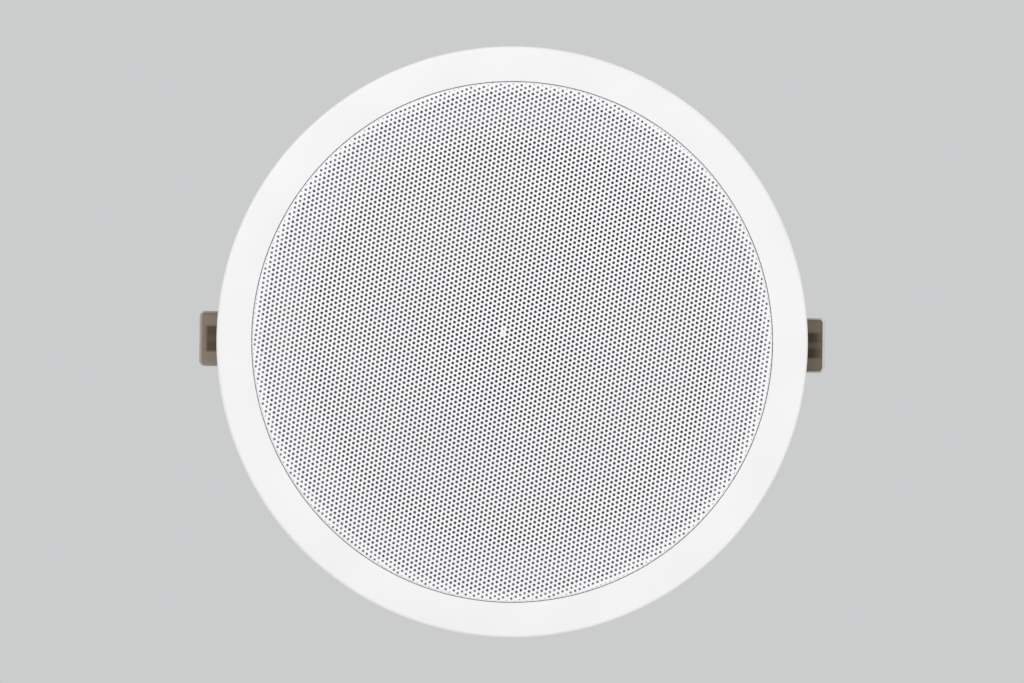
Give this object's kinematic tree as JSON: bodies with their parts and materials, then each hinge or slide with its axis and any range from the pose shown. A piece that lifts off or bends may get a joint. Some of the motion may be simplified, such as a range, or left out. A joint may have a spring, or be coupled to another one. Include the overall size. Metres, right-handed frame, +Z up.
{
  "type": "in ceiling speaker",
  "caption": "Round ceiling loudspeaker with a pierced metal grille in a plain moulded ring, an open-basket driver behind it and sprung side clips that clamp it in a round ceiling hole.",
  "frame": {"origin": "centre of the ring's rear face, which lies against the ceiling, on the speaker's axis", "axes": "+Z up into the ceiling void, so the grille faces -Z; the spring clips lie along X; Y completes the frame"},
  "size_m": [0.2638, 0.248, 0.0702],
  "materials": {
    "white_moulding": "fine satin",
    "white_enamel": "satin enamel",
    "black_enamel": "satin enamel",
    "zinc": "zinc plated",
    "cloth": "treated cloth",
    "paper": "felted paper",
    "winding": "enamelled wire",
    "spider_cloth": "resin treated cloth",
    "ferrite": "ground ferrite",
    "board": "laminate",
    "tinned": "tinned",
    "block_plastic": "moulded",
    "brass": "machined",
    "spring_wire": "drawn wire",
    "soft_sleeve": "soft translucent"
  },
  "bodies": {
    "speaker": {"frame": "white_moulding", "grille": "white_enamel", "basket": "black_enamel", "driver_screws": "zinc", "surround": "cloth", "spider": "spider_cloth", "top_plate": "zinc", "magnet": "ferrite", "yoke": "zinc", "tag_strip": "board", "solder_tags": "tinned", "terminal_block": "block_plastic", "terminal_inserts": "brass", "terminal_screws": "zinc", "block_screw": "zinc", "clip_pin_right": "zinc", "clip_pin_left": "zinc"},
    "diaphragm": {"cone": "paper", "dust_cap": "paper", "voice_coil": "winding"},
    "clip_right": {"clip_spring_right": "spring_wire", "clip_sleeve_right": "soft_sleeve"},
    "clip_left": {"clip_spring_left": "spring_wire", "clip_sleeve_left": "soft_sleeve"}
  },
  "joints": [
    {"name": "cone_travel", "type": "slide", "parent": "speaker", "child": "diaphragm", "axis": [0, 0, 1], "range_m": [-0.003, 0.003], "stiffness_N_per_m": 2000, "deforming": ["surround", "spider"]},
    {"name": "clip_right_fold", "type": "hinge", "parent": "speaker", "child": "clip_right", "pos_m": [0.104, 0, 0.01319], "axis": [0, -1, 0], "range_deg": [0, 90], "stiffness_Nm_per_rad": 0.5, "springref_deg": -57.3, "deforming": ["clip_spring_right"]},
    {"name": "clip_left_fold", "type": "hinge", "parent": "speaker", "child": "clip_left", "pos_m": [-0.104, 0, 0.01319], "axis": [0, 1, 0], "range_deg": [0, 90], "stiffness_Nm_per_rad": 0.5, "springref_deg": -57.3, "deforming": ["clip_spring_left"]}
  ]
}
